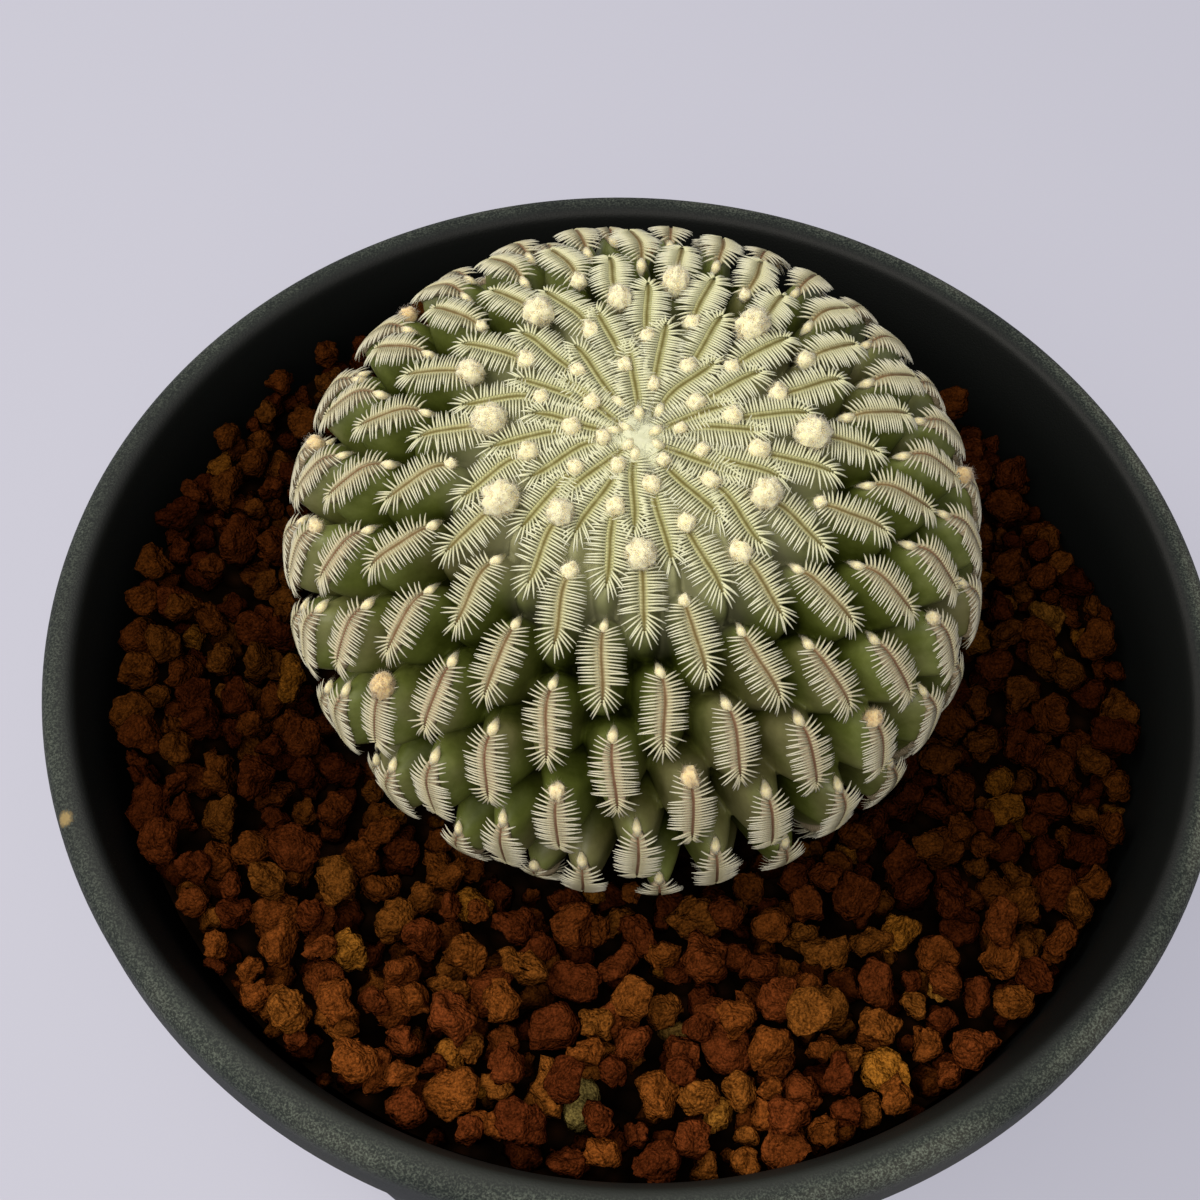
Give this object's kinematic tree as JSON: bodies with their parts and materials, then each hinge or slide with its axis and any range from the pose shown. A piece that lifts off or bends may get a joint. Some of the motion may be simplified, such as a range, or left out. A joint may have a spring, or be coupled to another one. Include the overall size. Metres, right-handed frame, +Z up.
{
  "type": "potted hatchet cactus",
  "caption": "Flattened round cactus with comb-topped tubercles in spirals, standing in clay gravel in a round dark plastic pot.",
  "frame": {"origin": "middle of the pot's foot, on the surface that it stands on", "axes": "+Z up along the pot's axis, -Y is the front, towards which the stem leans a little, +X is to the right"},
  "size_m": [0.12, 0.12, 0.1074],
  "materials": {
    "black_plastic": "moulded, matt, with a grey bloom on the rim",
    "gravel_fill": "rough baked clay",
    "red_clay_grain": "rough baked clay",
    "cactus_skin": "matt green skin with a waxy bloom"
  },
  "bodies": {
    "root": {"cactus": "cactus_skin", "grain_01": "red_clay_grain", "grain_02": "red_clay_grain", "grain_03": "red_clay_grain", "grain_04": "red_clay_grain", "grain_05": "red_clay_grain", "grain_06": "red_clay_grain", "grain_07": "red_clay_grain", "grain_08": "red_clay_grain", "grain_09": "red_clay_grain", "grain_10": "red_clay_grain", "grain_11": "red_clay_grain", "grain_12": "red_clay_grain", "grain_13": "red_clay_grain", "grain_14": "red_clay_grain", "grain_15": "red_clay_grain", "grain_16": "red_clay_grain", "grain_17": "red_clay_grain", "grain_18": "red_clay_grain", "grain_19": "red_clay_grain", "grain_20": "red_clay_grain", "grain_21": "red_clay_grain", "grain_22": "red_clay_grain", "grain_23": "red_clay_grain", "grain_24": "red_clay_grain", "grain_25": "red_clay_grain", "grain_26": "red_clay_grain", "gravel_bed": "gravel_fill", "pot": "black_plastic"}
  },
  "joints": []
}
